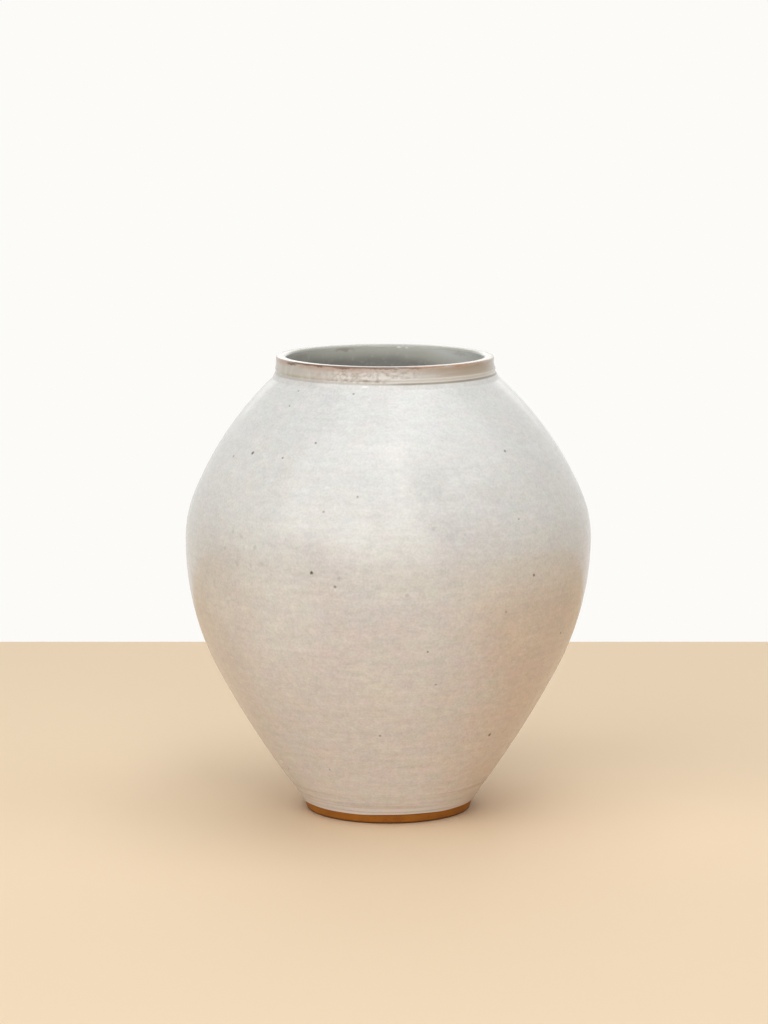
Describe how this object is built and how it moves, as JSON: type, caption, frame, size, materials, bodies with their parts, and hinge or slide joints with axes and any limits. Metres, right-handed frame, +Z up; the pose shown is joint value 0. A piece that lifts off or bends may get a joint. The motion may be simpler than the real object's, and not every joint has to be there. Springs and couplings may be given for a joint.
{
  "type": "moon jar",
  "caption": "Ovoid stoneware moon jar: thrown bowls luted rim to rim at the belly, a low collar round the open mouth, a bare trimmed foot ring and a speckled white glaze inside and out.",
  "frame": {"origin": "centre of the foot ring on the surface that the jar stands on", "axes": "+Z up along the jar's axis through the mouth, and -Y towards the side that the picture shows"},
  "size_m": [0.154, 0.154, 0.174],
  "materials": {
    "bare_clay": "matt toasted stoneware",
    "clay_slip": "matt fired slip",
    "white_glaze": "satin gloss",
    "lining_glaze": "satin gloss"
  },
  "bodies": {
    "root": {"foot_ring": "bare_clay", "foot_slip": "clay_slip", "lower_bowl": "bare_clay", "belly_slip": "clay_slip", "upper_bowl": "bare_clay", "collar_slip": "clay_slip", "neck_collar": "bare_clay", "outer_glaze": "white_glaze", "inner_glaze": "lining_glaze"}
  },
  "joints": []
}
